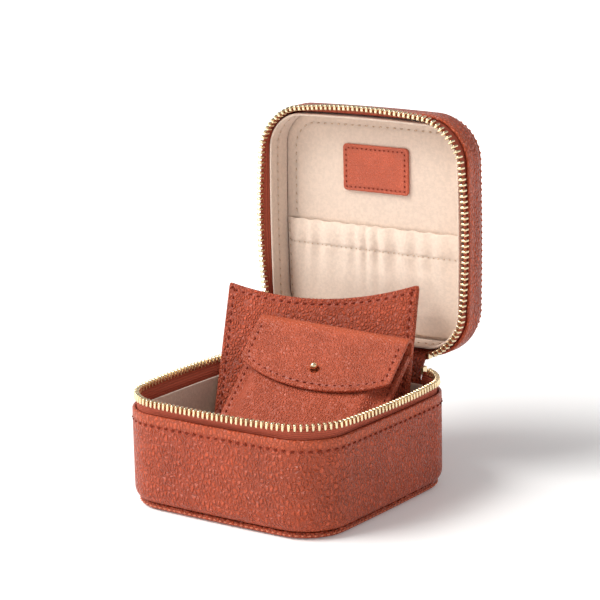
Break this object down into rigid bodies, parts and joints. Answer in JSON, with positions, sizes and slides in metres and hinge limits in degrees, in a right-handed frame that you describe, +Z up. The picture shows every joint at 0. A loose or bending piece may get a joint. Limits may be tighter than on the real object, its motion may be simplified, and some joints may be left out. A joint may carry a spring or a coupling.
{
  "type": "leather jewellery case",
  "caption": "Square zip-around leather jewellery case standing open, with a suede-lined lid pocket, a stitched label, a scooped divider and a flap pouch with a ball stud.",
  "frame": {"origin": "middle of the underside of the base", "axes": "+X to the right along the front, +Y back towards the lid's hinge, +Z up"},
  "size_m": [0.0952, 0.1125, 0.1367],
  "materials": {
    "leather_body": "pebbled terracotta leather, satin",
    "leather_divider": "heavily pebbled terracotta leather, satin",
    "leather_pouch": "soft smooth-grained terracotta leather, satin",
    "board": "grey fibreboard stiffener, covered",
    "suede_lining": "beige suede lining, matt",
    "suede_pocket": "cream suede, matt and softly gathered",
    "elastic": "woven elastic, hidden in the pocket's hem",
    "zip_tape": "terracotta twill tape",
    "brass": "polished pale brass"
  },
  "bodies": {
    "base": {"bottom_panel": "leather_body", "base_board": "board", "floor_lining": "suede_lining", "base_wall": "leather_body", "base_wall_board": "board", "base_lining": "suede_lining", "base_zip_tape": "zip_tape", "base_zip_teeth": "brass", "base_end_stop": "brass", "hinge_base_leaf": "leather_body", "zip_slider": "brass"},
    "lid": {"lid_panel": "leather_body", "lid_board": "board", "lid_lining_panel": "suede_lining", "lid_wall": "leather_body", "lid_lining_wall": "suede_lining", "lid_pocket": "suede_pocket", "pocket_elastic": "elastic", "lid_label": "leather_body", "lid_zip_tape": "zip_tape", "lid_zip_teeth": "brass", "lid_end_stop": "brass", "hinge_lid_leaf": "leather_body"},
    "divider": {"divider_front": "leather_divider", "divider_board": "board", "divider_back": "leather_divider"},
    "pouch": {"pouch_back": "leather_pouch", "pouch_front": "leather_pouch", "pouch_fold": "leather_pouch", "ball_stud": "brass"},
    "flap": {"pouch_flap": "leather_pouch"},
    "pull": {"pull_ring": "brass", "pull_tab": "leather_body"}
  },
  "joints": [
    {"name": "lid_hinge", "type": "hinge", "parent": "base", "child": "lid", "pos_m": [0, 0.047, 0.04205], "axis": [-1, 0, 0], "range_deg": [-90, 0]},
    {"name": "divider_laydown", "type": "hinge", "parent": "base", "child": "divider", "pos_m": [-0.01788, -0.00734, 0.06386], "axis": [0.9214, 0.0948, 0.3768], "range_deg": [-36, 0]},
    {"name": "pouch_laydown", "type": "hinge", "parent": "divider", "child": "pouch", "pos_m": [-0.01024, -0.00429, 0.08274], "axis": [-0.9644, -0.0942, -0.247], "range_deg": [-22.66, 0]},
    {"name": "flap_hinge", "type": "hinge", "parent": "pouch", "child": "flap", "pos_m": [0.00581, 0.02042, 0.05708], "axis": [-0.9829, -0.1691, 0.0729], "range_deg": [0, 30]},
    {"name": "pull_swing", "type": "hinge", "parent": "base", "child": "pull", "pos_m": [-0.029, 0.04937, 0.0415], "axis": [1, 0, 0], "range_deg": [0, 90]}
  ],
  "couplings": [
    {"joint": "divider_laydown", "follows": "lid_hinge", "ratio": 0.39997},
    {"joint": "pouch_laydown", "follows": "lid_hinge", "ratio": 0.2518}
  ]
}
